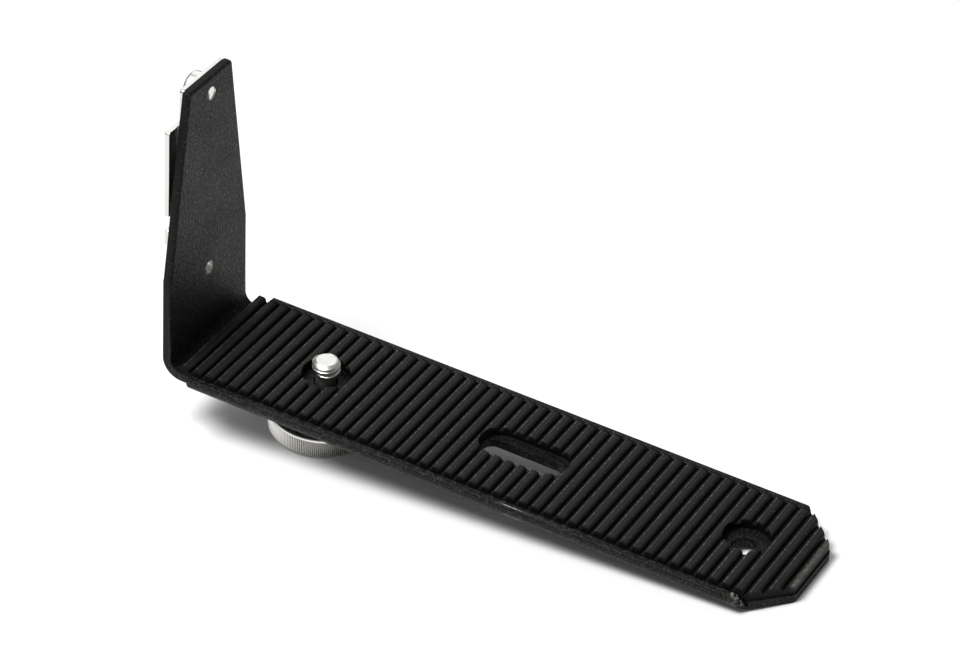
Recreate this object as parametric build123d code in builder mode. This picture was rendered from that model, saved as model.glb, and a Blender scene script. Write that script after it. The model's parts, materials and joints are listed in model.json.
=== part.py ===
"""L-shaped camera and flash bracket.

A bent sheet-metal bracket with a long arm and a short upright. A ribbed rubber
pad lies in the arm, a captive 1/4"-20 screw with a knurled knob holds the
camera, and a male slide plate on the upright carries the flash.

Millimetres, +Z up. The origin is on the camera screw's axis, at the pad's top
face. +X runs along the arm to its tip. The upright stands at -X.
"""

import os

from build123d import *

os.makedirs("parts", exist_ok=True)

# Sheet metal
sheet = 2.0
pad_thickness = 2.5
floor_top = -pad_thickness
floor_bottom = floor_top - sheet
bend_inner_radius = 2.8
lip_outer_radius = 2.75

# Arm
tip_x = 121.1
arm_half_width = 18.4
lip_start_x = -25.1
lip_end_x = 110.6
lip_top = -0.8
lip_edge_radius = 0.5
tip_half_width = 8.5
tip_corner_radius = 2.2

# Upright
upright_inner_x = -31.1
upright_outer_x = upright_inner_x - sheet
upright_top = 66.9
upright_half_width = 15.6
upright_top_half_width = 8.5
taper_start_z = 21.6
near_corner_radius = 0.8
far_corner_radius = 1.0

# Holes: the two tapped 1/4"-20 holes are drawn at their minor diameter
quarter_inch_radius = 6.35 / 2
quarter_inch_minor_radius = 5.15 / 2
tip_hole_x = 104.6
slot_start_x = 40.3
slot_length = 19.5
slot_width = 5.35
slide_screw_heights = (16.2, 62.6)
slide_screw_minor_radius = 1.7

# Rubber pad
adhesive_thickness = 0.15
pad_start_x = -28.0
pad_end_x = 120.7
pad_half_width = 16.1
pad_bottom_chamfer = 0.35
adhesive_half_width = 15.5
pad_near_tip_y = -8.3
pad_far_tip_y = 8.3
rib_count = 49
rib_pitch = 3.072
rib_width = 1.95
rib_height = 1.1
rib_left_radius = 0.15
rib_right_radius = 0.8
first_rib_x = -27.8
pad_screw_hole_radius = 5.5
pad_tip_hole_radius = 5.25
pad_tip_hole_y = 0.9
pad_slot_start_x = 39.8
pad_slot_length = 21.8
pad_slot_width = 9.7

# Camera screw, washer and knob
thread_bottom = -0.1
thread_top = 3.4
thread_chamfer = 0.75
neck_radius = 2.35
shank_radius = 3.0
running_gap = 0.05
washer_thickness = 1.0
washer_radius = 6.6
washer_bore_radius = 3.35
hub_radius = 6.0
hub_top = floor_bottom - washer_thickness - 2 * running_gap
knob_radius = 12.8
knob_top = -9.6
knob_bottom = -14.3
knob_top_chamfer = 0.8
knob_bottom_chamfer = 0.3
knob_recess_radius = 9.0
knob_recess_depth = 0.6

# Flash slide on the upright's outer face
strip_thickness = 1.0
strip_half_width = 8.05
strip_bottom = 11.0
strip_hole_radius = 2.2
slide_thickness = 1.15
slide_half_width = 12.0
slide_bottom = 27.85
slide_top = 57.75
slide_corner_radius = 0.6
notch_bottom = 32.0
notch_top = 35.8
notch_depth = 2.0
rivet_heights = (34.0, 51.5)
rivet_radius = 1.5

# M4 pan-head screws
screw_shank_radius = 2.0
screw_head_radius = 4.0
screw_head_height = 2.6
screw_head_rounding = 1.2
screw_end_depths = (1.0, 0.2)
recess_length = 4.4
recess_width = 0.9
recess_depth = 1.5

strip_outer_x = upright_outer_x - strip_thickness
slide_outer_x = strip_outer_x - slide_thickness

# The upright's flat outline lies in the YZ plane, and grows towards -X
outer_face = Plane(origin=(upright_outer_x, 0, 0), x_dir=(0, 1, 0), z_dir=(1, 0, 0))


# Bracket plate: one bent sheet with two upturned lips along the arm
with BuildPart() as bracket_plate:
    # Outline of the arm from above, with its tip corners cut off
    with BuildSketch(Plane.XY.offset(floor_bottom)) as arm_outline:
        with BuildLine():
            corner_x = tip_x - (arm_half_width - tip_half_width)
            Polyline(
                (lip_start_x, -arm_half_width),
                (corner_x, -arm_half_width),
                (tip_x, -tip_half_width),
                (tip_x, tip_half_width),
                (corner_x, arm_half_width),
                (lip_start_x, arm_half_width),
                close=True,
            )
        make_face()
        fillet(arm_outline.vertices().group_by(Axis.X)[-1], tip_corner_radius)
    extrude(amount=lip_top - floor_bottom)

    # Channel section with a rounded lip along each side
    with BuildSketch(Plane.YZ.offset(lip_start_x)) as channel:
        with BuildLine():
            side = arm_half_width - lip_outer_radius
            inner_side = arm_half_width - sheet
            turn_top = floor_bottom + lip_outer_radius
            outer_side = Line((0, floor_bottom), (side, floor_bottom))
            outer_turn = TangentArc(outer_side @ 1, (arm_half_width, turn_top), tangent=(1, 0))
            outer_wall = Line(outer_turn @ 1, (arm_half_width, lip_top))
            lip_edge = Line(outer_wall @ 1, (inner_side, lip_top))
            inner_wall = Line(lip_edge @ 1, (inner_side, turn_top))
            inner_turn = TangentArc(inner_wall @ 1, (side, floor_top), tangent=(0, -1))
            Line(inner_turn @ 1, (0, floor_top))
            mirror(about=Plane.YZ)
        make_face()
        lip_corners = channel.vertices().group_by(Axis.Y)[-1]
        fillet(lip_corners, lip_edge_radius)
    extrude(amount=tip_x - lip_start_x, mode=Mode.INTERSECT)

    # Slanted ends of the two lips
    near_side = Plane.XZ.offset(side)
    far_side = Plane.XZ.offset(-arm_half_width)
    with BuildSketch(near_side, far_side):
        with BuildLine():
            slant_end_x = lip_end_x + lip_top - floor_bottom
            Polyline(
                (lip_end_x, lip_top),
                (slant_end_x, floor_bottom),
                (tip_x, floor_bottom),
                (tip_x, lip_top),
                close=True,
            )
        make_face()
    extrude(amount=lip_outer_radius, mode=Mode.SUBTRACT)

    # Bend between the arm and the upright
    with BuildSketch(Plane.XZ):
        with BuildLine():
            bend_x = upright_inner_x + bend_inner_radius
            bend_z = floor_top + bend_inner_radius
            bottom_edge = Line((lip_start_x, floor_bottom), (bend_x, floor_bottom))
            outer_bend = TangentArc(bottom_edge @ 1, (upright_outer_x, bend_z), tangent=(-1, 0))
            top_of_bend = Line(outer_bend @ 1, (upright_inner_x, bend_z))
            inner_bend = TangentArc(top_of_bend @ 1, (bend_x, floor_top), tangent=(0, -1))
            top_edge = Line(inner_bend @ 1, (lip_start_x, floor_top))
            Line(top_edge @ 1, bottom_edge @ 0)
        make_face()
    extrude(amount=upright_half_width, both=True)

    # Tapered upright
    with BuildSketch(outer_face) as upright_outline:
        with BuildLine():
            Polyline(
                (-upright_half_width, bend_z),
                (upright_half_width, bend_z),
                (upright_half_width, taper_start_z),
                (upright_top_half_width, upright_top),
                (-upright_top_half_width, upright_top),
                (-upright_half_width, taper_start_z),
                close=True,
            )
        make_face()
        fillet(upright_outline.vertices().group_by(Axis.Y)[-1].sort_by(Axis.X)[0], near_corner_radius)
        fillet(upright_outline.vertices().group_by(Axis.Y)[-1].sort_by(Axis.X)[-1], far_corner_radius)
    extrude(amount=sheet)

    # Tapped holes for the camera screw and at the tip, and the slot between them
    with BuildSketch(Plane.XY.offset(floor_bottom)):
        with Locations((0, 0), (tip_hole_x, 0)):
            Circle(quarter_inch_minor_radius)
        with Locations((slot_start_x + slot_length / 2, 0)):
            SlotOverall(slot_length, slot_width)
    extrude(amount=sheet, mode=Mode.SUBTRACT)

    # Tapped holes for the slide's screws
    with BuildSketch(outer_face):
        with Locations(*[(0, height) for height in slide_screw_heights]):
            Circle(slide_screw_minor_radius)
    extrude(amount=sheet, mode=Mode.SUBTRACT)

bracket_plate.part.label = "bracket_plate"


# Outline that the rubber pad and its adhesive film share
with BuildSketch() as pad_outline:
    with BuildLine():
        near_chamfer = pad_half_width + pad_near_tip_y
        far_chamfer = pad_half_width - pad_far_tip_y
        Polyline(
            (pad_start_x, -pad_half_width),
            (pad_end_x - near_chamfer, -pad_half_width),
            (pad_end_x, pad_near_tip_y),
            (pad_end_x, pad_far_tip_y),
            (pad_end_x - far_chamfer, pad_half_width),
            (pad_start_x, pad_half_width),
            close=True,
        )
    make_face()
    Circle(pad_screw_hole_radius, mode=Mode.SUBTRACT)
    with Locations((tip_hole_x, pad_tip_hole_y)):
        Circle(pad_tip_hole_radius, mode=Mode.SUBTRACT)
    with Locations((pad_slot_start_x + pad_slot_length / 2, 0)):
        SlotOverall(pad_slot_length, pad_slot_width, mode=Mode.SUBTRACT)

pad_bottom = floor_top + adhesive_thickness
groove_bottom = -rib_height


# Rubber pad: a backing sheet with a row of ribs across it
with BuildPart() as rubber_pad:
    with BuildSketch(Plane.XY.offset(pad_bottom)):
        add(pad_outline.sketch)
    extrude(amount=groove_bottom - pad_bottom)
    long_edges = rubber_pad.edges().group_by(Axis.Z)[0].filter_by(Axis.X)
    chamfer(long_edges, pad_bottom_chamfer)
    with BuildPart(mode=Mode.PRIVATE) as rib_row:
        with BuildSketch(Plane.XZ) as rib_profile:
            for number in range(rib_count):
                left = first_rib_x + number * rib_pitch
                right = min(left + rib_width, pad_end_x)
                with Locations(((left + right) / 2, -rib_height / 2)):
                    Rectangle(right - left, rib_height)
            fillet(rib_profile.vertices().group_by(Axis.Y)[-1].sort_by(Axis.X)[0::2], rib_left_radius)
            fillet(rib_profile.vertices().group_by(Axis.Y)[-1].sort_by(Axis.X)[1::2], rib_right_radius)
        extrude(amount=pad_half_width, both=True)
        with BuildSketch(Plane.XY.offset(groove_bottom)):
            add(pad_outline.sketch)
        extrude(amount=rib_height, mode=Mode.INTERSECT)
    add(rib_row.part)

rubber_pad.part.label = "rubber_pad"


# Double-sided adhesive film under the pad
with BuildPart() as pad_adhesive:
    with BuildSketch(Plane.XY.offset(floor_top)):
        add(pad_outline.sketch)
        with Locations(((pad_start_x + pad_end_x) / 2, 0)):
            Rectangle(pad_end_x - pad_start_x, 2 * adhesive_half_width, mode=Mode.INTERSECT)
    extrude(amount=adhesive_thickness)

pad_adhesive.part.label = "pad_adhesive"


# Captive camera screw: thread, thin neck through the plate, and a plain shank
with BuildPart() as camera_screw:
    shank_bottom = knob_bottom + knob_recess_depth
    with BuildSketch(Plane.XZ):
        with BuildLine():
            Polyline(
                (0, shank_bottom),
                (shank_radius, shank_bottom),
                (shank_radius, hub_top),
                (neck_radius, hub_top),
                (neck_radius, thread_bottom),
                (quarter_inch_radius, thread_bottom),
                (quarter_inch_radius, thread_top - thread_chamfer),
                (quarter_inch_radius - thread_chamfer, thread_top),
                (0, thread_top),
                close=True,
            )
        make_face()
    revolve(axis=Axis.Z)

camera_screw.part.label = "camera_screw"


# Knurled knob with its hub, pressed on the camera screw's shank
with BuildPart() as screw_knob:
    with BuildSketch(Plane.XZ):
        with BuildLine():
            Polyline(
                (shank_radius, hub_top),
                (hub_radius, hub_top),
                (hub_radius, knob_top),
                (knob_radius - knob_top_chamfer, knob_top),
                (knob_radius, knob_top - knob_top_chamfer),
                (knob_radius, knob_bottom + knob_bottom_chamfer),
                (knob_radius - knob_bottom_chamfer, knob_bottom),
                (knob_recess_radius, knob_bottom),
                (knob_recess_radius, knob_bottom + knob_recess_depth),
                (shank_radius, knob_bottom + knob_recess_depth),
                close=True,
            )
        make_face()
    revolve(axis=Axis.Z)

screw_knob.part.label = "screw_knob"


# Friction washer between the knob's hub and the plate
with BuildPart() as friction_washer:
    with BuildSketch(Plane.XY.offset(hub_top + running_gap)):
        Circle(washer_radius)
        Circle(washer_bore_radius, mode=Mode.SUBTRACT)
    extrude(amount=washer_thickness)

friction_washer.part.label = "friction_washer"


# Backing strip that holds the slide plate away from the upright
with BuildPart() as slide_strip:
    with BuildSketch(outer_face) as strip_outline:
        with Locations((0, (strip_bottom + upright_top) / 2)):
            Rectangle(2 * strip_half_width, upright_top - strip_bottom)
        fillet(strip_outline.vertices().group_by(Axis.Y)[-1].sort_by(Axis.X)[0], near_corner_radius)
        fillet(strip_outline.vertices().group_by(Axis.Y)[-1].sort_by(Axis.X)[-1], far_corner_radius)
        with Locations(*[(0, height) for height in slide_screw_heights]):
            Circle(strip_hole_radius, mode=Mode.SUBTRACT)
        with Locations(*[(0, height) for height in rivet_heights]):
            Circle(rivet_radius, mode=Mode.SUBTRACT)
    extrude(amount=-strip_thickness)

slide_strip.part.label = "slide_strip"


# Slide plate: its two free edges are the rails of the flash slide
with BuildPart() as slide_plate:
    with BuildSketch(outer_face.offset(-strip_thickness)) as slide_outline:
        with Locations((0, (slide_bottom + slide_top) / 2)):
            Rectangle(2 * slide_half_width, slide_top - slide_bottom)
        fillet(slide_outline.vertices(), slide_corner_radius)
        notch_y = slide_half_width - notch_depth / 2
        notch_z = (notch_bottom + notch_top) / 2
        with Locations((-notch_y, notch_z), (notch_y, notch_z)):
            Rectangle(notch_depth, notch_top - notch_bottom, mode=Mode.SUBTRACT)
        with Locations(*[(0, height) for height in rivet_heights]):
            Circle(rivet_radius, mode=Mode.SUBTRACT)
    extrude(amount=-slide_thickness)

slide_plate.part.label = "slide_plate"


# Flush rivets that join the slide plate to its strip
with BuildPart() as slide_rivets:
    with BuildSketch(outer_face):
        with Locations(*[(0, height) for height in rivet_heights]):
            Circle(rivet_radius)
    extrude(amount=-(strip_thickness + slide_thickness))

slide_rivets.part.label = "slide_rivets"


def make_slide_screw(height, end_depth):
    """One M4 pan-head screw with a cross recess, driven in from the outer side."""
    with BuildPart() as screw:
        with BuildSketch(Plane.XY):
            Circle(screw_head_radius)
        extrude(amount=screw_head_height)
        fillet(screw.edges().group_by(Axis.Z)[-1], screw_head_rounding)
        with BuildSketch(Plane.XY):
            Circle(screw_shank_radius)
        extrude(amount=-strip_thickness)
        with BuildSketch(Plane.XY.offset(-strip_thickness)):
            Circle(slide_screw_minor_radius)
        extrude(amount=-(sheet - end_depth))
        with BuildSketch(Plane.XY.offset(screw_head_height - recess_depth)):
            Rectangle(recess_length, recess_width)
            Rectangle(recess_width, recess_length)
        extrude(amount=recess_depth, mode=Mode.SUBTRACT)
    head_seat = Plane(origin=(strip_outer_x, 0, height), x_dir=(0, 1, 0), z_dir=(-1, 0, 0))
    return head_seat.location * screw.part


lower_slide_screw = make_slide_screw(slide_screw_heights[0], screw_end_depths[0])
lower_slide_screw.label = "lower_slide_screw"

upper_slide_screw = make_slide_screw(slide_screw_heights[1], screw_end_depths[1])
upper_slide_screw.label = "upper_slide_screw"


export_step(bracket_plate.part, "parts/bracket_plate.step")
export_step(rubber_pad.part, "parts/rubber_pad.step")
export_step(pad_adhesive.part, "parts/pad_adhesive.step")
export_step(camera_screw.part, "parts/camera_screw.step")
export_step(screw_knob.part, "parts/screw_knob.step")
export_step(friction_washer.part, "parts/friction_washer.step")
export_step(slide_strip.part, "parts/slide_strip.step")
export_step(slide_plate.part, "parts/slide_plate.step")
export_step(slide_rivets.part, "parts/slide_rivets.step")
export_step(lower_slide_screw, "parts/lower_slide_screw.step")
export_step(upper_slide_screw, "parts/upper_slide_screw.step")
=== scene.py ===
"""Looks of an L-shaped camera and flash bracket.

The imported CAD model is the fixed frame. Its nodes are copied, given broken edges,
real threads and a real knurl, and finished with procedural materials. Everything
is in metres, in the CAD frame: +X along the arm, +Z up along the camera screw.
"""

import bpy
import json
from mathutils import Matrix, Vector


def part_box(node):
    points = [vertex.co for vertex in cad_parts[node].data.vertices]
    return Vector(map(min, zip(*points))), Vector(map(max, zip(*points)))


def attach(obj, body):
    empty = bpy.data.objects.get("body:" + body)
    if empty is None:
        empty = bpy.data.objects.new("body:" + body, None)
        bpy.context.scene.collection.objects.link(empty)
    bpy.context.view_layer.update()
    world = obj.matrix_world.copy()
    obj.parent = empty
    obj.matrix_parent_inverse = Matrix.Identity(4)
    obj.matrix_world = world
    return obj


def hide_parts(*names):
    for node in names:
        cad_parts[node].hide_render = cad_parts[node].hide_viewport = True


bl_info = {
    "name": "Camera Flash Bracket",
    "version": (1, 0, 0),
    "blender": (4, 5, 0),
    "location": "3D View > Sidebar > Bracket",
    "description": "Builds the visible pieces of an L-shaped flash bracket",
    "category": "Add Mesh",
}

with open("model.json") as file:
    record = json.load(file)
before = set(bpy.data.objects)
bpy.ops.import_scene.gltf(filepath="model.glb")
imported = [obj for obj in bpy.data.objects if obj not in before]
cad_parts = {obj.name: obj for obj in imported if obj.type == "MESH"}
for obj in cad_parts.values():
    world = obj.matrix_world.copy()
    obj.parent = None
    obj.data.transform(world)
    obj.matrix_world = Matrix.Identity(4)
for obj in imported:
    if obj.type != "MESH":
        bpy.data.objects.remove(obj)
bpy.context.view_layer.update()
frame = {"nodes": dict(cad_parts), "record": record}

import json
from math import atan2, cos, radians, sin, tau

import bmesh
import bpy
from bpy.props import FloatProperty, FloatVectorProperty, IntProperty, PointerProperty
from mathutils import Matrix, Vector

MM = 0.001

# Places that the frame's nodes give
PLATE_LOW, PLATE_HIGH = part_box("bracket_plate")
PAD_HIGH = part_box("rubber_pad")[1]
SCREW_LOW, SCREW_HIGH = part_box("camera_screw")
KNOB_LOW, KNOB_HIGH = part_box("screw_knob")
UPPER_LOW, UPPER_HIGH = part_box("upper_slide_screw")
LOWER_LOW, LOWER_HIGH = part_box("lower_slide_screw")
TIP_HOLE = Vector(next(m["pos_m"] for m in frame["record"]["mounts"] if m["name"] == "tripod_hole"))

UPPER_HEIGHT = (UPPER_LOW.z + UPPER_HIGH.z) / 2
LOWER_HEIGHT = (LOWER_LOW.z + LOWER_HIGH.z) / 2

# Sizes that the nodes' boxes don't give
SHEET = 2.0 * MM
FLOOR_BOTTOM = -4.5 * MM
FLOOR_TOP = FLOOR_BOTTOM + SHEET
INNER_FACE_X = PLATE_LOW.x + SHEET
UPRIGHT_START_Z = 3.0 * MM
PITCH = 1.27 * MM
MAJOR_RADIUS = 3.175 * MM
MINOR_RADIUS = 2.575 * MM
THREAD_BOTTOM = -0.1 * MM
NECK_RADIUS = 2.35 * MM
SHANK_RADIUS = 3.0 * MM
HUB_RADIUS = 6.0 * MM
KNOB_TOP = -9.6 * MM
RIB_PITCH = 3.072 * MM
FIRST_RIB_X = -27.8 * MM
SMALL_HOLE_RADIUS = 1.7 * MM
SMALL_HOLE_HEIGHTS = (UPPER_HEIGHT, LOWER_HEIGHT)
CLEAR_OF_SMALL_HOLES = 3.0 * MM

# Threads: depths below the crests, the part of a turn over which an end fades,
# and the chamfer and turn of the camera screw
THREAD_DEPTH_IN_PLATE = 0.25 * MM
THREAD_DEPTH_ON_SCREW = 0.68 * MM
SCREW_POINT_DEPTH = 0.74 * MM
THREAD_START_IN_PLATE = 0.42 * MM
THREAD_FADE = 0.2
SCREW_CHAMFER_SLOPE = 1.5
SCREW_THREAD_ANGLE = radians(236)

# Places of the worn scratch on the near lip, of the painted highlight on its end and of the painted
# shade at the rib ends
SCRATCH_START_X = 55 * MM
SCRATCH_END_X = 61 * MM
LIP_END_X = 110 * MM
RIB_END_Y = 16.0 * MM


# ---------------------------------------------------------------- settings

class PaintSettings(bpy.types.PropertyGroup):
    colour: FloatVectorProperty(
        name="Paint colour", description="Colour of the black wrinkle paint",
        subtype="COLOR", size=3, min=0, max=1, default=(0.0055, 0.0054, 0.0050))
    wrinkle: FloatProperty(
        name="Wrinkle size", description="Distance between two wrinkles of the paint",
        unit="LENGTH", default=0.5 * MM)
    depth: FloatProperty(
        name="Wrinkle depth", description="Height of the paint's wrinkles",
        unit="LENGTH", default=0.07 * MM)
    edge: FloatProperty(
        name="Outer edge", description="Rounding of the upright's edges on the slide's side",
        unit="LENGTH", default=0.25 * MM)
    rolled_edge: FloatProperty(
        name="Rolled edge", description="Rounding of the upright's edges on the pad's side",
        unit="LENGTH", default=0.72 * MM)


class RubberSettings(bpy.types.PropertyGroup):
    colour: FloatVectorProperty(
        name="Rubber colour", description="Colour of the ribbed pad",
        subtype="COLOR", size=3, min=0, max=1, default=(0.0085, 0.0085, 0.0078))
    edge: FloatProperty(
        name="Rib edge", description="Rounding of the cut ends of the ribs",
        unit="LENGTH", default=0.12 * MM)


class MetalSettings(bpy.types.PropertyGroup):
    colour: FloatVectorProperty(
        name="Metal colour", description="Colour of the bright plated steel",
        subtype="COLOR", size=3, min=0, max=1, default=(0.80, 0.79, 0.76))
    roughness: FloatProperty(
        name="Roughness", description="Roughness of the bright plated steel",
        min=0, max=1, default=0.22)
    edge: FloatProperty(
        name="Metal edge", description="Rounding of the slide's stamped edges",
        unit="LENGTH", default=0.12 * MM)


class KnobSettings(bpy.types.PropertyGroup):
    teeth: IntProperty(
        name="Knurl teeth", description="Number of straight teeth round the knob",
        min=24, default=176)
    tooth_depth: FloatProperty(
        name="Tooth depth", description="Depth of the knurl's teeth",
        unit="LENGTH", default=0.3 * MM)
    bead: FloatProperty(
        name="Bead height", description="Height of the smooth edge above the knurl",
        unit="LENGTH", default=0.65 * MM)


class ThreadSettings(bpy.types.PropertyGroup):
    steps: IntProperty(
        name="Steps per turn", description="Segments in one turn of each thread",
        min=12, default=64)
    crest: FloatProperty(
        name="Crest width", description="Width of the thread's flat crest",
        unit="LENGTH", default=0.4 * MM)


class StageSettings(bpy.types.PropertyGroup):
    floor_size: FloatProperty(
        name="Floor size", description="Side of the square white floor",
        unit="LENGTH", default=6.0)
    key_power: FloatProperty(
        name="Key light", description="Power of the softbox overhead, on the left",
        unit="POWER", default=10.8)
    card_power: FloatProperty(
        name="Back card", description="Power of the wide white card behind the bracket",
        unit="POWER", default=3.0)
    sky: FloatProperty(
        name="Sky", description="Strength of the even white surroundings",
        min=0, default=0.27)


# ---------------------------------------------------------------- shaders

class Link:
    """One output of a shader node, with the usual arithmetic."""

    def __init__(self, finish, socket):
        self.finish = finish
        self.socket = socket

    def math(self, operation, *values):
        inputs = dict(enumerate((self,) + values))
        return self.finish.node("ShaderNodeMath", {"operation": operation}, inputs)

    def __add__(self, other):
        return self.math("ADD", other)

    def __sub__(self, other):
        return self.math("SUBTRACT", other)

    def __mul__(self, other):
        return self.math("MULTIPLY", other)

    def __rsub__(self, other):
        return self.finish.node("ShaderNodeMath", {"operation": "SUBTRACT"}, {0: other, 1: self})

    __radd__ = __add__
    __rmul__ = __mul__

    def between(self, low, high, start=0.0, end=1.0):
        """The value's place between low and high, as start to end."""
        inputs = {"Value": self, "From Min": low, "From Max": high, "To Min": start, "To Max": end}
        return self.finish.node("ShaderNodeMapRange", {"clamp": True}, inputs)


class Finish:
    """One procedural material and the nodes that make it."""

    def __init__(self, name, **surface):
        self.material = bpy.data.materials.new(name)
        self.material.use_nodes = True
        self.tree = self.material.node_tree
        self.surface = self.tree.nodes["Principled BSDF"]
        self.set(**surface)
        self.place = self.node("ShaderNodeTexCoord", output="Object")

    def set(self, **surface):
        """Feeds sockets of the surface, named in lower case with underscores."""
        for name, value in surface.items():
            socket = self.surface.inputs[name.replace("_", " ").title().replace("Ior", "IOR")]
            self.feed(socket, value)

    def feed(self, socket, value):
        if isinstance(value, Link):
            self.tree.links.new(value.socket, socket)
        elif hasattr(value, "__len__") and socket.type == "RGBA":
            socket.default_value = (*value[:3], 1.0)
        else:
            socket.default_value = value

    def node(self, kind, settings=None, inputs=None, output=0):
        made = self.tree.nodes.new(kind)
        for name, value in (settings or {}).items():
            setattr(made, name, value)
        for name, value in (inputs or {}).items():
            self.feed(made.inputs[name], value)
        return Link(self, made.outputs[output])

    def noise(self, size, detail=2.0, roughness=0.5):
        """Noise whose lumps are about size metres apart."""
        inputs = {"Vector": self.place, "Scale": 1 / size, "Detail": detail, "Roughness": roughness}
        return self.node("ShaderNodeTexNoise", None, inputs, output=0)

    def cells(self, size):
        """Distance from the middles of soft cells that are about size metres across."""
        inputs = {"Vector": self.place, "Scale": 1 / size}
        return self.node("ShaderNodeTexVoronoi", {"feature": "SMOOTH_F1"}, inputs, output="Distance")

    def axis(self, name):
        """One coordinate, in metres in the CAD frame."""
        return self.node("ShaderNodeSeparateXYZ", None, {0: self.place}, output=name)

    def mix(self, factor, first, second):
        """One colour where the factor is 0, and the other where it is 1."""
        inputs = {0: factor, 6: first, 7: second}
        return self.node("ShaderNodeMix", {"data_type": "RGBA"}, inputs, output=2)

    def bump(self, height, distance, strength=1.0):
        """A normal for a surface that rises by the distance where the height is 1."""
        inputs = {"Height": height, "Distance": distance, "Strength": strength}
        return self.node("ShaderNodeBump", None, inputs)


def scaled(colour, factor):
    """A colour made lighter or darker."""
    return tuple(min(1.0, channel * factor) for channel in colour)


def wrinkle_paint(paint):
    """Black wrinkle paint: fine crazed lumps with painted highlights on their tops, dimmed by painted
    shade on the upright's edges.
    """
    finish = Finish("black_wrinkle_paint", specular_ior_level=0.15)
    lumps = finish.noise(paint.wrinkle, detail=3.0, roughness=0.7)
    crazing = finish.cells(paint.wrinkle * 1.5)
    height = lumps + crazing * 0.6
    broad = finish.noise(9 * MM, detail=2.0)
    # Painted shade: the pale tops fade out on the upright's sheet edges, darkening them.
    edge_shade_dimming = finish.axis("X").between(INNER_FACE_X - 0.7 * MM, INNER_FACE_X - 0.2 * MM, 0.12, 1.0)
    # Painted highlight: the wrinkles' tops are coloured much paler than the paint.
    highlit_tops = lumps.between(0.5, 0.66) * edge_shade_dimming
    colour = finish.mix(highlit_tops, scaled(paint.colour, 0.2), scaled(paint.colour, 5.9))
    finish.set(
        # Pale where the near lip is scratched, plus a painted highlight on the lip's end.
        base_color=finish.mix(lip_scratch_and_end_highlight(finish), colour, (0.42, 0.41, 0.38)),
        roughness=broad.between(0.3, 0.7, 0.48, 0.56) - highlit_tops * 0.2,
        normal=finish.bump(height, paint.depth * 2),
    )
    return finish.material


def lip_scratch_and_end_highlight(finish):
    """How pale the paint is made: a thin worn scratch along the near lip, and a painted highlight on the
    lip's end.
    """
    x, y, z = (finish.axis(name) for name in "XYZ")
    scratch_y = PLATE_LOW.y + 0.6 * MM
    broken = finish.noise(0.9 * MM, detail=3.0, roughness=0.7)
    bright_start = x.between(SCRATCH_START_X, SCRATCH_START_X + 0.8 * MM)
    bright_end = x.between(SCRATCH_END_X, SCRATCH_END_X - 2.5 * MM)
    faint_start = x.between(SCRATCH_START_X - 3 * MM, SCRATCH_START_X + 1 * MM)
    faint_end = x.between(SCRATCH_END_X + 12 * MM, SCRATCH_END_X - 1 * MM)
    along = (bright_start * bright_end).math("MAXIMUM", faint_start * faint_end * 0.16)
    near_side = y.between(scratch_y - 0.14 * MM, scratch_y - 0.06 * MM)
    far_side = y.between(scratch_y + 0.14 * MM, scratch_y + 0.06 * MM)
    scratch = along * near_side * far_side * broken.between(0.36, 0.46)
    # Painted highlight on the near lip's rounded end, broken up by noise.
    end_start = x.between(LIP_END_X - 0.1 * MM, LIP_END_X + 0.3 * MM)
    end = end_start * x.between(LIP_END_X + 3.2 * MM, LIP_END_X + 2.2 * MM)
    lip = y.between(-16.2 * MM, -16.4 * MM) * z.between(-3.6 * MM, -3.0 * MM)
    lip_end_highlight = end * lip * broken.between(0.46, 0.6) * 0.5
    return scratch.math("MAXIMUM", lip_end_highlight)


def ribbed_rubber(rubber):
    """Matt black rubber: moulding grain, pale dust, painted highlights on rib edges and the cut end,
    painted shade in grooves.
    """
    finish = Finish("ribbed_black_rubber", specular_ior_level=0.14)
    grain = finish.noise(0.3 * MM, detail=3.0, roughness=0.65)
    patches = finish.noise(5 * MM, detail=3.0)
    specks = finish.noise(0.36 * MM, detail=1.0).between(0.72, 0.78)
    x, y, z = (finish.axis(name) for name in "XYZ")
    step = ((x - FIRST_RIB_X) * (1 / RIB_PITCH)).math("FRACT")
    top = z.between(-0.5 * MM, -0.1 * MM)
    dots = finish.noise(0.8 * MM, detail=3.0, roughness=0.75).between(0.51, 0.6)
    # Painted highlight on each rib's left edge, broken into dots.
    rib_edge_highlight = step.between(0.10, 0.02) * top * (0.2 + dots * 0.8)
    base = finish.mix(patches, scaled(rubber.colour, 0.7), scaled(rubber.colour, 1.4))
    highlit_rubber = finish.mix(rib_edge_highlight, base, (0.19, 0.185, 0.165))
    # Painted highlight: a pale band on the pad's cut end at the tip, mixed with the dust.
    cut_face = x.between(PAD_HIGH.x - 0.75 * MM, PAD_HIGH.x - 0.55 * MM)
    cut = cut_face * z.between(-1.9 * MM, -1.4 * MM) * dots.between(0.0, 1.0, 0.25, 0.6)
    dust_and_highlights = finish.mix((specks * top * 0.6).math("MAXIMUM", cut), highlit_rubber, (0.27, 0.265, 0.24))
    # Painted shade: the rib ends by the lips and the grooves are darkened to near black.
    ends = y.math("ABSOLUTE").between(RIB_END_Y - 0.7 * MM, RIB_END_Y)
    grooves = z.between(-0.35 * MM, -0.9 * MM)
    shaded = ends.math("MAXIMUM", grooves) * 0.85
    finish.set(
        base_color=finish.mix(shaded, dust_and_highlights, (0.001, 0.001, 0.001)),
        roughness=patches.between(0.3, 0.7, 0.5, 0.62) + ends * 0.3,
        normal=finish.bump(grain, 0.05 * MM, 0.9),
    )
    return finish.material


def bright_metal(metal, name, darker=1.0, rougher=1.0):
    """Bright plated steel, smooth, with faint broad unevenness."""
    finish = Finish(name, metallic=1.0)
    broad = finish.noise(3 * MM)
    dull, bright = (scaled(metal.colour, share * darker) for share in (0.88, 1.04))
    finish.set(base_color=finish.mix(broad, dull, bright), **metal_marks(finish, metal, rougher))
    return finish.material


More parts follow.
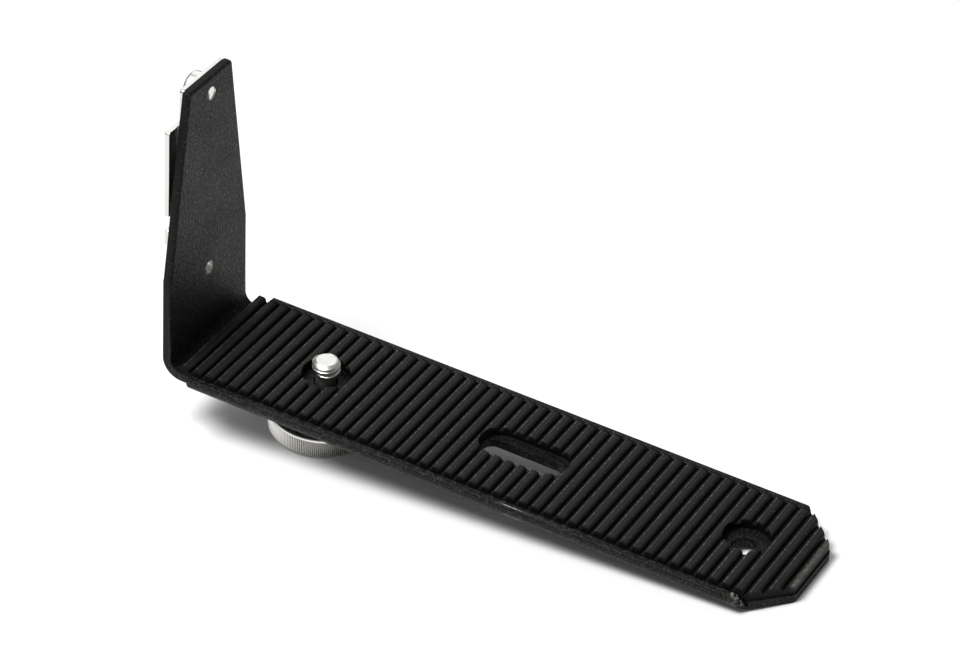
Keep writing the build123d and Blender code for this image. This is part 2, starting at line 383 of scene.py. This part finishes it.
def metal_marks(finish, metal, rougher=1.0):
    """The uneven gloss of bright steel, as sockets of its finish."""
    marks = finish.noise(0.9 * MM)
    smooth, rough = (metal.roughness * share * rougher for share in (0.85, 1.2))
    return {
        "roughness": marks.between(0.3, 0.7, smooth, rough),
        "normal": finish.bump(marks, 0.004 * MM, 0.4)}


def knurled_metal(metal, knob):
    """The plated steel of the knob, with painted shade in the knurl's grooves."""
    finish = Finish("bright_knob_plate", metallic=1.0)
    x, y, z = (finish.axis(name) for name in "XYZ")
    radius = (x * x + y * y).math("SQRT")
    rim = KNOB_HIGH.x
    low = KNOB_LOW.z
    bead_bottom = KNOB_TOP - knob.bead
    between_teeth = radius.between(rim - 0.04 * MM, rim - knob.tooth_depth)
    at_rim = radius.between(rim - 0.6 * MM, rim - 0.5 * MM)
    below_bead = z.between(bead_bottom, bead_bottom - 0.05 * MM)
    above_chamfer = z.between(low + 0.2 * MM, low + 0.4 * MM)
    # Painted shade: the metal is darkened between the knurl's teeth.
    groove_shade = between_teeth * at_rim * below_bead * above_chamfer
    finish.set(
        base_color=finish.mix(groove_shade, metal.colour, scaled(metal.colour, 0.25)),
        **metal_marks(finish, metal))
    return finish.material


def crescent_shaded_steel(metal):
    """The M4 screws' steel, with a painted shade crescent on one side of their ends in the holes."""
    finish = Finish("bright_pan_screw", specular_ior_level=0.3)
    marks = finish.noise(0.9 * MM)
    x, y, z = (finish.axis(name) for name in "XYZ")
    in_the_plate = x.between(PLATE_LOW.x - 0.1 * MM, PLATE_LOW.x + 0.1 * MM)
    is_lower = z.between(UPPER_LOW.z - 1 * MM, UPPER_LOW.z - 2 * MM)
    from_axis = z - UPPER_HEIGHT * (1 - is_lower) - LOWER_HEIGHT * is_lower
    across = y + marks * 0.5 * MM + from_axis * (0.2 + is_lower * 0.5)
    # Painted shade: a dark, non-metallic crescent on one side of each screw's end inside the plate.
    crescent_shade = across.between(-0.15 * MM, -0.6 * MM) * in_the_plate
    finish.set(
        base_color=finish.mix(crescent_shade, scaled(metal.colour, 0.95), (0.02, 0.02, 0.02)),
        metallic=1 - crescent_shade,
        roughness=marks.between(0.3, 0.7, metal.roughness * 1.3, metal.roughness * 1.8),
        normal=finish.bump(marks, 0.004 * MM, 0.4),
    )
    return finish.material


def plain_finish(name, colour, roughness, grain):
    """A matt finish with fine grain, for the film and the washer."""
    finish = Finish(name, specular_ior_level=0.3)
    lumps = finish.noise(grain, detail=2.0)
    finish.set(
        base_color=finish.mix(lumps, scaled(colour, 0.8), scaled(colour, 1.2)),
        roughness=lumps.between(0.3, 0.7, roughness - 0.05, roughness + 0.05),
        normal=finish.bump(lumps, 0.02 * MM, 0.5),
    )
    return finish.material


# ---------------------------------------------------------------- mesh tools

MERGE = 0.002 * MM
FLAT = radians(0.5)
SHARP = radians(28)


def merged_copy(node):
    """A copy of a CAD node with its loose triangles joined and its flat faces whole."""
    bm = bmesh.new()
    bm.from_mesh(frame["nodes"][node].data)
    bmesh.ops.remove_doubles(bm, verts=bm.verts, dist=MERGE)
    bmesh.ops.dissolve_limit(bm, angle_limit=FLAT, verts=bm.verts, edges=bm.edges)
    return bm


def is_outer_corner(edge):
    """Whether an edge is sharp and sticks out."""
    return edge.is_manifold and edge.calc_face_angle_signed(0) > SHARP


def break_edges(bm, width, segments=3, wanted=lambda edge: True, clamped=True):
    """Rounds the wanted ones of the sharp outer edges."""
    edges = [edge for edge in bm.edges if is_outer_corner(edge) and wanted(edge)]
    bmesh.ops.bevel(
        bm, geom=edges, offset=width, offset_type="OFFSET", segments=segments,
        profile=0.5, affect="EDGES", clamp_overlap=clamped, material=-1)


def finished_piece(name, bm, body, slot, materials, *nodes):
    """Makes the piece's object, rides it on its body and hides the nodes it stands for."""
    mesh = bpy.data.meshes.new(name)
    bm.to_mesh(mesh)
    bm.free()
    mesh.shade_smooth()
    mesh.set_sharp_from_angle(angle=SHARP)
    for material in materials:
        mesh.materials.append(material)
    piece = bpy.data.objects.new(name, mesh)
    bpy.context.scene.collection.objects.link(piece)
    weighted = piece.modifiers.new("even_shading", "WEIGHTED_NORMAL")
    weighted.keep_sharp = True
    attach(piece, body)
    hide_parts(*nodes)
    return piece


def outline(bm, points):
    """A row of joined vertices in the XZ plane, from (radius, height) pairs."""
    verts = [bm.verts.new((x, 0, z)) for x, z in points]
    for first, second in zip(verts, verts[1:]):
        bm.edges.new((first, second))
    return verts


def turned(bm, points, steps):
    """Turns an outline round the Z axis into a closed shape."""
    outline(bm, points)
    bmesh.ops.spin(
        bm, geom=bm.verts[:] + bm.edges[:], cent=(0, 0, 0), axis=(0, 0, 1),
        dvec=(0, 0, 0), angle=tau, steps=steps, use_merge=True)
    bmesh.ops.remove_doubles(bm, verts=bm.verts, dist=MERGE)
    bmesh.ops.recalc_face_normals(bm, faces=bm.faces)


def thread_ridge(bm, centre, start_z, turns, root, crest, thread):
    """A helical ridge between the root and crest radii, fading out at both ends."""
    ridge = bmesh.new()
    inward = -1 if crest < root else 1
    buried = root - inward * 0.08 * MM
    lowest_share = 0.15
    half_root = 0.47 * PITCH
    half_crest = thread.crest / 2
    corners = (
        (buried, -half_root), (crest, -half_crest), (crest, half_crest), (buried, half_root))
    verts = outline(ridge, [(radius, start_z + height) for radius, height in corners])
    ridge.edges.new((verts[-1], verts[0]))
    steps = round(turns * thread.steps)
    bmesh.ops.spin(
        ridge, geom=ridge.verts[:] + ridge.edges[:], cent=(0, 0, 0), axis=(0, 0, 1),
        dvec=(0, 0, PITCH / thread.steps), angle=tau * turns, steps=steps)
    bmesh.ops.holes_fill(ridge, edges=[e for e in ridge.edges if e.is_boundary], sides=0)
    bmesh.ops.recalc_face_normals(ridge, faces=ridge.faces)
    for vert in ridge.verts:
        angle = atan2(vert.co.y, vert.co.x) / tau
        climb = (vert.co.z - start_z) / PITCH
        turn = angle + round(climb - angle)
        share = max(0.0, min(1.0, turn / THREAD_FADE, (turns - turn) / THREAD_FADE))
        radius = vert.co.xy.length
        height = max(0.0, (radius - buried) * inward)
        kept = buried + inward * height * (lowest_share + (1 - lowest_share) * share)
        vert.co.xy *= kept / radius
    bmesh.ops.translate(ridge, verts=ridge.verts, vec=centre)
    joined = bpy.data.meshes.new("ridge")
    ridge.to_mesh(joined)
    ridge.free()
    bm.from_mesh(joined)
    bpy.data.meshes.remove(joined)


# ---------------------------------------------------------------- pieces

def settings():
    return bpy.context.scene.flash_bracket


class BRACKET_OT_plate(bpy.types.Operator):
    """Bent sheet with painted faces, two tapped 1/4 inch holes and two bare M4 holes"""

    bl_idname = "flash_bracket.plate"
    bl_label = "Bracket plate"

    def execute(self, context):
        paint = settings().paint
        bm = merged_copy("bracket_plate")
        hole_places = (Vector((0, 0, 0)), Vector((TIP_HOLE.x, 0, 0)))
        thread_root = MINOR_RADIUS + THREAD_DEPTH_IN_PLATE
        for place in hole_places:
            widen_bore(bm, place, thread_root)
        for face in bm.faces:
            if in_small_hole(face):
                face.material_index = 1
        break_edges(bm, paint.rolled_edge, 5, on_rolled_side, clamped=False)
        break_edges(bm, paint.edge, 3, on_outer_side, clamped=False)
        for place in hole_places:
            start = FLOOR_BOTTOM + THREAD_START_IN_PLATE
            thread_ridge(bm, place, start, 1.0, thread_root, MINOR_RADIUS, settings().thread)
        bare = bright_metal(settings().metal, "bare_hole_wall", darker=0.9)
        finished_piece(
            "bracket_sheet", bm, "bracket", "black_paint",
            [wrinkle_paint(paint), bare], "bracket_plate")
        return {"FINISHED"}


def widen_bore(bm, place, radius):
    """Opens a 1/4 inch bore in the arm to the root of its thread."""
    for vert in bm.verts:
        offset = (vert.co - place).xy
        if offset.length < MINOR_RADIUS + 0.05 * MM and vert.co.z < FLOOR_TOP + MERGE:
            vert.co.xy = place.xy + offset.normalized() * radius


def in_small_hole(face):
    """Whether a face is on the wall of one of the upright's M4 holes."""
    middle = face.calc_center_median()
    to_axes = [(middle.yz - Vector((0, height))).length for height in SMALL_HOLE_HEIGHTS]
    return min(to_axes) < SMALL_HOLE_RADIUS + 0.02 * MM and abs(face.normal.x) < 0.5


def on_upright_outline(vert):
    """Whether a corner of the upright is on its outline, and not on a hole."""
    beside_holes = abs(vert.co.y) > CLEAR_OF_SMALL_HOLES
    on_top = vert.co.z > PLATE_HIGH.z - MERGE
    return vert.co.z > UPRIGHT_START_Z and (beside_holes or on_top)


def on_rolled_side(edge):
    """The upright's outline on its inner face."""
    on_face = all(abs(vert.co.x - INNER_FACE_X) < MERGE for vert in edge.verts)
    return on_face and any(on_upright_outline(vert) for vert in edge.verts)


def on_outer_side(edge):
    """The upright's outline on its outer face."""
    on_face = all(abs(vert.co.x - PLATE_LOW.x) < MERGE for vert in edge.verts)
    return on_face and all(on_upright_outline(vert) for vert in edge.verts)


class BRACKET_OT_pad(bpy.types.Operator):
    """Ribbed rubber pad, and the film that holds it"""

    bl_idname = "flash_bracket.pad"
    bl_label = "Rubber pad"

    def execute(self, context):
        rubber = settings().rubber
        bm = merged_copy("rubber_pad")
        break_edges(bm, rubber.edge, segments=2)
        finished_piece(
            "ribbed_pad", bm, "bracket", "black_rubber", [ribbed_rubber(rubber)], "rubber_pad")
        film = plain_finish("adhesive_film", (0.01, 0.01, 0.01), 0.7, 0.4 * MM)
        frame["nodes"]["pad_adhesive"].data.materials.clear()
        frame["nodes"]["pad_adhesive"].data.materials.append(film)
        return {"FINISHED"}


class BRACKET_OT_screw(bpy.types.Operator):
    """Captive camera screw with a real thread, its knurled knob and its washer"""

    bl_idname = "flash_bracket.screw"
    bl_label = "Camera screw"

    def execute(self, context):
        metal = settings().metal
        self.make_screw(metal)
        self.make_knob(metal, settings().knob)
        bm = merged_copy("friction_washer")
        break_edges(bm, 0.1 * MM)
        fibre = plain_finish("black_fibre", (0.02, 0.02, 0.02), 0.75, 0.5 * MM)
        finished_piece("hub_washer", bm, "washer", "washer", [fibre], "friction_washer")
        return {"FINISHED"}

    def make_screw(self, metal):
        core = MAJOR_RADIUS - THREAD_DEPTH_ON_SCREW
        face = MAJOR_RADIUS - SCREW_POINT_DEPTH
        top = SCREW_HIGH.z
        low = SCREW_LOW.z
        hub_top = KNOB_HIGH.z
        chamfer = 0.2 * MM
        points = [
            (0, top), (face - 0.15 * MM, top), (face - 0.02 * MM, top - 0.08 * MM),
            (core - 0.04 * MM, top - 0.5 * MM), (core, top - 0.6 * MM),
            (core, THREAD_BOTTOM + 0.15 * MM), (NECK_RADIUS, THREAD_BOTTOM),
            (NECK_RADIUS, hub_top), (SHANK_RADIUS, hub_top),
            (SHANK_RADIUS, low + chamfer), (SHANK_RADIUS - chamfer, low), (0, low)]
        bm = bmesh.new()
        turned(bm, points, 64)
        start = THREAD_BOTTOM + 0.3 * PITCH
        turns = (top - start) / PITCH + 0.2
        thread_ridge(bm, Vector(), start, turns, core, MAJOR_RADIUS, settings().thread)
        ridge_top = top - 0.03 * MM
        threaded = [v for v in bm.verts if v.co.z > -PITCH and v.co.xy.length > face - 0.1 * MM]
        for vert in threaded:
            vert.co.z = max(THREAD_BOTTOM, min(vert.co.z, ridge_top))
            cone = face + SCREW_CHAMFER_SLOPE * (top - vert.co.z)
            radius = vert.co.xy.length
            if radius > cone:
                vert.co.xy *= cone / radius
        bmesh.ops.rotate(
            bm, verts=bm.verts, cent=(0, 0, 0), matrix=Matrix.Rotation(SCREW_THREAD_ANGLE, 3, "Z"))
        steel = bright_metal(metal, "bright_screw_steel", darker=0.93, rougher=1.6)
        finished_piece("captive_screw", bm, "screw", "bright_screw", [steel], "camera_screw")

    def make_knob(self, metal, knob):
        rim = KNOB_HIGH.x
        low = KNOB_LOW.z
        hub_top = KNOB_HIGH.z
        bead = knob.bead
        bead_bottom = KNOB_TOP - bead
        chamfer = 0.2 * MM
        fillet = 0.3 * MM
        recess = 9.0 * MM
        recess_top = low + 0.6 * MM
        points = [
            (SHANK_RADIUS, hub_top), (HUB_RADIUS - chamfer, hub_top),
            (HUB_RADIUS, hub_top - chamfer), (HUB_RADIUS, KNOB_TOP + fillet),
            (HUB_RADIUS + fillet, KNOB_TOP), (rim - bead, KNOB_TOP),
            (rim - 0.5 * bead, KNOB_TOP - 0.13 * bead), (rim - 0.28 * bead, KNOB_TOP - 0.4 * bead),
            (rim - 0.24 * bead, bead_bottom), (rim, bead_bottom - 0.05 * MM),
            (rim, low + 0.35 * MM), (rim - 0.3 * MM, low + 0.12 * MM),
            (rim - 0.5 * MM, low), (recess, low), (recess, recess_top),
            (SHANK_RADIUS, recess_top), (SHANK_RADIUS, hub_top)]
        bm = bmesh.new()
        steps = 2 * knob.teeth
        turned(bm, points, steps)
        for vert in bm.verts:
            step = round(atan2(vert.co.y, vert.co.x) / tau * steps)
            radius = vert.co.xy.length
            if radius > rim - 0.05 * MM and step % 2:
                vert.co.xy *= (rim - knob.tooth_depth) / radius
        plated = knurled_metal(metal, knob)
        finished_piece("knurled_knob", bm, "screw", "bright_knob", [plated], "screw_knob")


class BRACKET_OT_slide(bpy.types.Operator):
    """Flash slide: backing strip, notched slide plate, rivets and two M4 screws"""

    bl_idname = "flash_bracket.slide"
    bl_label = "Flash slide"

    def execute(self, context):
        metal = settings().metal
        plated = bright_metal(metal, "bright_slide_plate", darker=0.84)
        steel = crescent_shaded_steel(metal)
        pieces = (
            ("backing_strip", "slide_strip", "bright_slide", plated, metal.edge),
            ("notched_slide", "slide_plate", "bright_slide", plated, metal.edge),
            ("flush_rivets", "slide_rivets", "bright_slide", plated, 0.06 * MM),
            ("lower_pan_screw", "lower_slide_screw", "bright_screw", steel, 0.08 * MM),
            ("upper_pan_screw", "upper_slide_screw", "bright_screw", steel, 0.08 * MM))
        for name, node, slot, material, edge in pieces:
            bm = merged_copy(node)
            break_edges(bm, edge)
            finished_piece(name, bm, "bracket", slot, [material], node)
        return {"FINISHED"}


# ---------------------------------------------------------------- stage

def floor_tilt():
    """The bracket leans on its knob's rim and on the arm's tip."""
    rim, tip = Vector((KNOB_HIGH.x, 0, KNOB_LOW.z)), Vector((PLATE_HIGH.x, 0, FLOOR_BOTTOM))
    rise = tip - rim
    return rim, atan2(rise.z, rise.x)


def aimed(obj, place, target):
    """Puts a lamp or a camera at a place and points it at its target."""
    turn = (target - place).to_track_quat("-Z", "Y")
    obj.matrix_world = Matrix.Translation(place) @ turn.to_matrix().to_4x4()


class BRACKET_OT_stage(bpy.types.Operator):
    """White table, soft lights and the camera"""

    bl_idname = "flash_bracket.stage"
    bl_label = "Stage"

    def execute(self, context):
        stage = settings().stage
        rim, tilt = floor_tilt()
        level = Matrix.Translation(rim) @ Matrix.Rotation(-tilt, 4, "Y")
        self.make_floor(stage, level)
        self.make_lights(stage, level)
        self.make_camera()
        world = bpy.data.worlds.new("even_white")
        world.use_nodes = True
        background = world.node_tree.nodes["Background"]
        background.inputs["Color"].default_value = (1, 1, 1, 1)
        background.inputs["Strength"].default_value = stage.sky
        context.scene.world = world
        context.scene.view_settings.view_transform = "Standard"
        return {"FINISHED"}

    def make_floor(self, stage, level):
        bm = bmesh.new()
        bmesh.ops.create_grid(bm, x_segments=1, y_segments=1, size=stage.floor_size / 2)
        bmesh.ops.transform(bm, matrix=level, verts=bm.verts)
        mesh = bpy.data.meshes.new("white_table")
        bm.to_mesh(mesh)
        bm.free()
        table = Finish(
            "white_table", base_color=(0.93, 0.93, 0.93), roughness=0.9, specular_ior_level=0.0)
        mesh.materials.append(table.material)
        floor_piece = bpy.data.objects.new("white_table", mesh)
        bpy.context.scene.collection.objects.link(floor_piece)

    def make_lights(self, stage, level):
        lights = (
            ("overhead_softbox", (-0.20, -0.35, 0.92), 0.42, stage.key_power),
            ("back_card", (-0.45, 0.85, 0.72), 0.9, stage.card_power))
        target = level @ Vector((0.03, 0, 0.02))
        for name, place, size, power in lights:
            light = bpy.data.lights.new(name, "AREA")
            light.shape = "SQUARE"
            light.size = size
            light.energy = power
            lamp = bpy.data.objects.new(name, light)
            bpy.context.scene.collection.objects.link(lamp)
            aimed(lamp, level @ Vector(place), target)

    def make_camera(self):
        """Looks along the arm from the near side of its tip, and a little rolled."""
        data = bpy.data.cameras.new("camera")
        data.sensor_width = 36.0
        data.lens = 153.75
        data.clip_start = 0.05
        camera = bpy.data.objects.new("camera", data)
        bpy.context.scene.collection.objects.link(camera)
        bpy.context.scene.camera = camera
        aim = Vector((21.32, 31.73, 0)) * MM
        distance = 926.73 * MM
        azimuth, elevation, roll = radians(27.677), radians(36.803), radians(3.553)
        toward = Vector((
            sin(azimuth) * cos(elevation), -cos(azimuth) * cos(elevation), sin(elevation)))
        turn = Matrix.Rotation(roll, 3, toward)
        aimed(camera, aim + toward * distance, aim)
        basis = turn @ camera.matrix_world.to_3x3()
        camera.matrix_world = Matrix.Translation(aim + toward * distance) @ basis.to_4x4()


class BracketSettings(bpy.types.PropertyGroup):
    paint: PointerProperty(type=PaintSettings, name="Paint", description="Black wrinkle paint")
    rubber: PointerProperty(type=RubberSettings, name="Rubber", description="Ribbed pad")
    metal: PointerProperty(type=MetalSettings, name="Metal", description="Bright plated steel")
    knob: PointerProperty(type=KnobSettings, name="Knob", description="Knurled knob")
    thread: PointerProperty(type=ThreadSettings, name="Thread", description="1/4 inch threads")
    stage: PointerProperty(type=StageSettings, name="Stage", description="Table and lights")


class BRACKET_PT_panel(bpy.types.Panel):
    """Lists the bracket's operators"""

    bl_idname = "BRACKET_PT_panel"
    bl_label = "Camera Flash Bracket"
    bl_space_type = "VIEW_3D"
    bl_region_type = "UI"
    bl_category = "Bracket"

    def draw(self, context):
        for operator in OPERATORS:
            self.layout.operator(operator.bl_idname)


OPERATORS = (
    BRACKET_OT_stage, BRACKET_OT_plate, BRACKET_OT_pad, BRACKET_OT_screw, BRACKET_OT_slide)
GROUPS = (
    PaintSettings, RubberSettings, MetalSettings, KnobSettings, ThreadSettings,
    StageSettings, BracketSettings)


def register():
    for cls in GROUPS + OPERATORS + (BRACKET_PT_panel,):
        bpy.utils.register_class(cls)
    bpy.types.Scene.flash_bracket = PointerProperty(type=BracketSettings)


def unregister():
    del bpy.types.Scene.flash_bracket
    for cls in reversed(GROUPS + OPERATORS + (BRACKET_PT_panel,)):
        bpy.utils.unregister_class(cls)


def main():
    register()
    bpy.ops.flash_bracket.stage()
    bpy.ops.flash_bracket.plate()
    bpy.ops.flash_bracket.pad()
    bpy.ops.flash_bracket.screw()
    bpy.ops.flash_bracket.slide()


if __name__ == "__main__":
    main()
